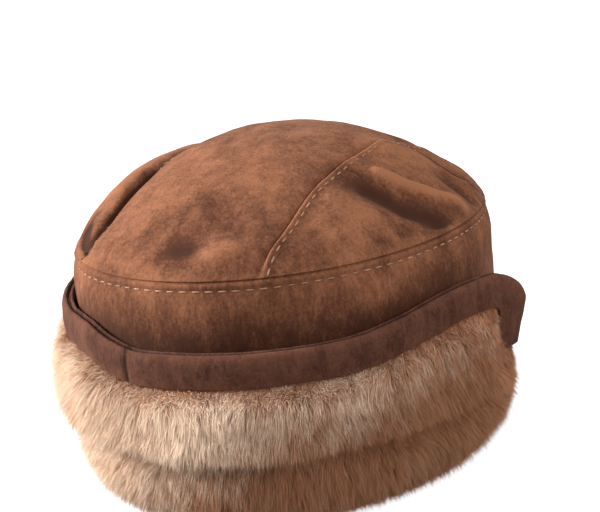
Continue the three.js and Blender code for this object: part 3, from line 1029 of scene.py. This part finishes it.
class HAT_OT_fur(bpy.types.Operator):
    """Grow the fur of the flap and of the rolled hem"""

    bl_idname = "hat.fur"
    bl_label = "Fur"

    def execute(self, context):
        self.add_flap_bed()
        self.add_hem_bed()
        for name, start, end in (("left", -1.0, 0.0), ("right", 0.0, 1.0)):
            self.grow_patch("flap_" + name, self.flap_patch(start, end), context.scene.hat_sizes)
        for k, name in enumerate(("back_right", "front_right", "front_left", "back_left")):
            patch = self.hem_patch(k * math.pi / 2, (k + 1) * math.pi / 2)
            self.grow_patch("hem_" + name, patch, context.scene.hat_sizes)
        return {"FINISHED"}

    def flap_body(self, arc, height):
        """How far the wool stands out from the flap's skin."""
        foot = float(smooth((height - FLAP_FOOT + 5) / 9))
        end = float(smooth((FLAP_END - abs(arc)) / 26))
        lumps = 1.0 + 0.24 * wave(arc, 2 * height, 0, 20, 4.2)
        return 1.0 + 5.2 * lumps * float(smooth(self.clear_of_binding(arc, height) / 6)) * foot * end

    @staticmethod
    def clear_of_binding(arc, height):
        """Room beside the binding, inside it or below the foot of its leg, and less of it near the leg."""
        from_leg = 0.45 * (FLAP_END - abs(arc) - BINDING_WIDTH)
        inside = min(edge_distance(arc, height) - BINDING_WIDTH, from_leg)
        return max(inside, LEG_FOOT - height)

    def flap_patch(self, start, end):
        """The wool's face on a stretch of the flap, and how short it is sheared beside the binding, which
        also paints shade on the fur there.
        """
        reach = FLAP_END - 1.5
        rows = []
        shear_and_shade = []
        for r in range(17):
            ring = []
            cut = []
            for k in range(141):
                arc = reach * (start + (end - start) * k / 140)
                top = flap_top(arc) - BINDING_WIDTH - 0.6
                if abs(arc) > FLAP_END - BINDING_WIDTH - 0.6:
                    top = LEG_FOOT - 1.0
                height = FLAP_FOOT + (top - FLAP_FOOT) * r / 16
                ring.append(on_flap(arc, height, self.flap_body(arc, height)))
                beside = 0.45 + 0.55 * float(smooth(self.clear_of_binding(arc, height) / 7))
                foot = 0.65 + 0.35 * float(smooth((height - FLAP_FOOT + 4 * wave(arc, 0, 0, 16, 6.6)) / 6))
                end = 0.55 + 0.45 * float(smooth((FLAP_END - abs(arc)) / 20))
                cut.append(beside * foot * end)
            rows.append(ring)
            shear_and_shade.append(cut)
        return rows, shear_and_shade

    @staticmethod
    def hem_offset(angle, height):
        """How far the hem's wool stands out from the crown ring."""
        heights = [point["height"] for point in HEM_PROFILE]
        offsets = [point["offset"] for point in HEM_PROFILE]
        held = math.sin(math.pi * height / heights[-1])
        lumps = 1.3 * held * wave(math.cos(angle), math.sin(angle), height / 60, 0.22, 1.7)
        return float(np.interp(height, heights, offsets)) + lumps

    def hem_patch(self, start, end):
        """The wool's face on a stretch of the hem, and how short it is sheared near the floor and below the
        flap, which also paints shade on the fur there.
        """
        top = HEM_PROFILE[-1]["height"]
        angles = [start + (end - start) * k / 90 for k in range(91)]
        rows = []
        shear_and_shade = []
        for height in np.linspace(0.6, top - 0.3, 30):
            rows.append([around(angle, self.hem_offset(angle, height), height) for angle in angles])
            near_floor = 0.5 + 0.5 * float(smooth(height / 14))
            drifts = [4 * wave(math.cos(angle), math.sin(angle), 0, 0.16, 3.3) for angle in angles]
            near_top = [0.5 + 0.5 * float(smooth((top - height + drift) / 8)) for drift in drifts]
            shear_and_shade.append([near_floor * cut for cut in near_top])
        return rows, shear_and_shade

    @staticmethod
    def grow_patch(name, patch, sizes):
        """Long strands and short wool over a patch."""
        rows, shear_and_shade = patch
        layers = (
            ("strands", sizes.fur_density, sizes.fur_length, sizes.fur_radius, 2, 0.75, 11),
            ("wool", sizes.wool_density, 0.78 * sizes.fur_length, sizes.fur_radius, 1, 0.85, 23),
        )
        for kind, density, length, radius, segments, stand, seed in layers:
            mesh = grid_mesh("fur_" + name + "_" + kind, rows, marks=shear_and_shade, mark_name="shear_and_shade")
            tidy_mesh(mesh)
            values = {
                "Density": density,
                "Length": length,
                "Radius": radius,
                "Stand": stand,
                "Segments": segments,
                "Seed": seed,
                "Material": materials()["Fur strands"],
            }
            add_piece(grow(mesh, strand_tree(), values), None, smooth_faces=False)

    def add_flap_bed(self):
        """The flap's skin: wool outside, suede towards the crown."""
        rows = []
        for k in range(161):
            arc = (FLAP_END - 2.2) * (2 * k / 160 - 1)
            from_end = FLAP_END - abs(arc)
            corner = CORNER_RADIUS - 2.2
            turned = max(0.0, CORNER_RADIUS - from_end)
            top = flap_top(arc) - CORNER_RADIUS + math.sqrt(max(0.0, corner * corner - turned * turned))
            outer = []
            inner = []
            for r in range(15):
                height = FLAP_FOOT + (top - FLAP_FOOT) * r / 14
                outer.append(on_flap(arc, height, self.flap_body(arc, height) - BED_DEPTH))
                inner.append(on_flap(arc, height, -0.9))
            rows.append(outer + inner[::-1])
        mesh = grid_mesh("fur_flap_bed", rows, close_columns=True)
        close_ends(mesh)
        tidy_mesh(mesh, closed=True)
        mesh.materials.append(materials()["Fur bed"])
        mesh.materials.append(materials()["Binding suede"])
        for polygon in mesh.polygons:
            outward = Vector((polygon.center.x, polygon.center.y, 0)) - RING_CENTRE
            polygon.material_index = 1 if polygon.normal.dot(outward) < 0 else 0
        add_piece(mesh, None, ["flap_fur"])

    def add_hem_bed(self):
        """The rolled hem's wool, flat where it stands."""
        rows = []
        heights = [38.0, 30.0, 22.0, BAND_FOOT - 0.6]
        for k in range(200):
            angle = 2 * math.pi * k / 200
            levels = [point["height"] for point in HEM_PROFILE]
            outer = [around(angle, self.hem_offset(angle, height) - BED_DEPTH, height) for height in levels]
            inner = [around(angle, band_offset(height) + 1.2, height) for height in heights]
            curl = [around(angle, HEM_SHELF, BAND_FOOT - 0.6), around(angle, HEM_MOUTH, 0.0)]
            rows.append(outer + inner + curl)
        mesh = grid_mesh("fur_hem_bed", rows, close_rows=True, close_columns=True)
        tidy_mesh(mesh, closed=True)
        add_piece(mesh, materials()["Fur bed"], ["hem_fur"])


def close_ends(mesh):
    """Caps the open ends of a tube."""
    work = bmesh.new()
    work.from_mesh(mesh)
    bmesh.ops.holes_fill(work, edges=[edge for edge in work.edges if edge.is_boundary], sides=0)
    work.to_mesh(mesh)
    work.free()


class HAT_OT_stage(bpy.types.Operator):
    """Set up the floor, the lights and the camera"""

    bl_idname = "hat.stage"
    bl_label = "Stage"

    def execute(self, context):
        self.add_floor()
        self.add_lights(context)
        self.add_camera(context)
        context.scene.view_settings.view_transform = "Standard"
        return {"FINISHED"}

    @staticmethod
    def add_floor():
        """A plain pale floor just under the hem."""
        mesh = bpy.data.meshes.new("floor")
        half = FLOOR_HALF
        low = -FLOOR_DROP * MM
        corners = [(-half, -half, low), (half, -half, low), (half, half, low), (-half, half, low)]
        mesh.from_pydata(corners, [], [(0, 1, 2, 3)])
        floor = bpy.data.objects.new("floor", mesh)
        bpy.context.collection.objects.link(floor)
        material, tree, shader = new_material("Pale floor")
        shader.inputs["Base Color"].default_value = (0.35, 0.35, 0.35, 1)
        shader.inputs["Roughness"].default_value = 0.9
        shader.inputs["Emission Color"].default_value = (1, 1, 1, 1)
        seen = add_node(tree, "ShaderNodeLightPath").outputs["Is Camera Ray"]
        tree.links.new(maths(tree, "MULTIPLY", seen, FLOOR_GLOW), shader.inputs["Emission Strength"])
        mesh.materials.append(material)

    @staticmethod
    def add_lights(context):
        """A pale room and three soft lamps aimed at the hat."""
        world = bpy.data.worlds.new("Studio")
        context.scene.world = world
        world.use_nodes = True
        tree = world.node_tree
        tree.nodes["Background"].inputs["Color"].default_value = (1, 1, 1, 1)
        seen = add_node(tree, "ShaderNodeLightPath").outputs["Is Camera Ray"]
        strength = ramp(tree, seen, 0.0, 1.0, ROOM_LIGHT, 1.0)
        tree.links.new(strength, tree.nodes["Background"].inputs["Strength"])
        for each in LIGHTS:
            light = bpy.data.lights.new(each["name"], "AREA")
            light.energy = each["watts"]
            light.size = each["width"]
            lamp = bpy.data.objects.new(each["name"], light)
            lamp.location = each["place"]
            aim = LIGHTS_AIM - Vector(each["place"])
            lamp.rotation_euler = aim.to_track_quat("-Z", "Y").to_euler()
            context.collection.objects.link(lamp)

    @staticmethod
    def add_camera(context):
        """A camera behind the hat and to the wearer's right, a little above it."""
        azimuth = math.radians(CAMERA["azimuth"])
        elevation = math.radians(CAMERA["elevation"])
        roll = math.radians(CAMERA["roll"])
        back = Vector(
            (
                math.sin(azimuth) * math.cos(elevation),
                -math.cos(azimuth) * math.cos(elevation),
                math.sin(elevation),
            )
        )
        camera = bpy.data.cameras.new("photo_view")
        for setting, value in LENS.items():
            setattr(camera, setting, value)
        viewer = bpy.data.objects.new("photo_view", camera)
        turn = back.to_track_quat("Z", "Y") @ Quaternion((0, 0, 1), -roll)
        place = to_metres(Vector((0, 0, CAMERA["aim"])) + CAMERA["distance"] * back)
        viewer.matrix_world = Matrix.Translation(place) @ turn.to_matrix().to_4x4()
        context.collection.objects.link(viewer)
        context.scene.camera = viewer


class HAT_PT_sidebar(bpy.types.Panel):
    """The hat's pieces, sizes and colours"""

    bl_idname = "HAT_PT_sidebar"
    bl_label = "Suede hat"
    bl_space_type = "VIEW_3D"
    bl_region_type = "UI"
    bl_category = "Hat"

    def draw(self, context):
        """Lists the operators and the settings."""
        for operator in OPERATORS:
            self.layout.operator(operator.bl_idname)
        for group in (context.scene.hat_sizes, context.scene.hat_colours):
            for name in group.__annotations__:
                self.layout.prop(group, name)


OPERATORS = (
    HAT_OT_stage,
    HAT_OT_crown_panels,
    HAT_OT_band,
    HAT_OT_binding,
    HAT_OT_stitching,
    HAT_OT_fur,
)
CLASSES = (HatColours, HatSizes, *OPERATORS, HAT_PT_sidebar)


def register():
    """Adds the hat's classes and its settings on the scene."""
    for each in CLASSES:
        bpy.utils.register_class(each)
    bpy.types.Scene.hat_colours = bpy.props.PointerProperty(type=HatColours)
    bpy.types.Scene.hat_sizes = bpy.props.PointerProperty(type=HatSizes)


def unregister():
    """Takes away what register added."""
    del bpy.types.Scene.hat_sizes
    del bpy.types.Scene.hat_colours
    for each in reversed(CLASSES):
        bpy.utils.unregister_class(each)


def main():
    """Builds every piece and the stage."""
    register()
    for operator in OPERATORS:
        group, name = operator.bl_idname.split(".")
        getattr(getattr(bpy.ops, group), name)()


if __name__ == "__main__":
    main()
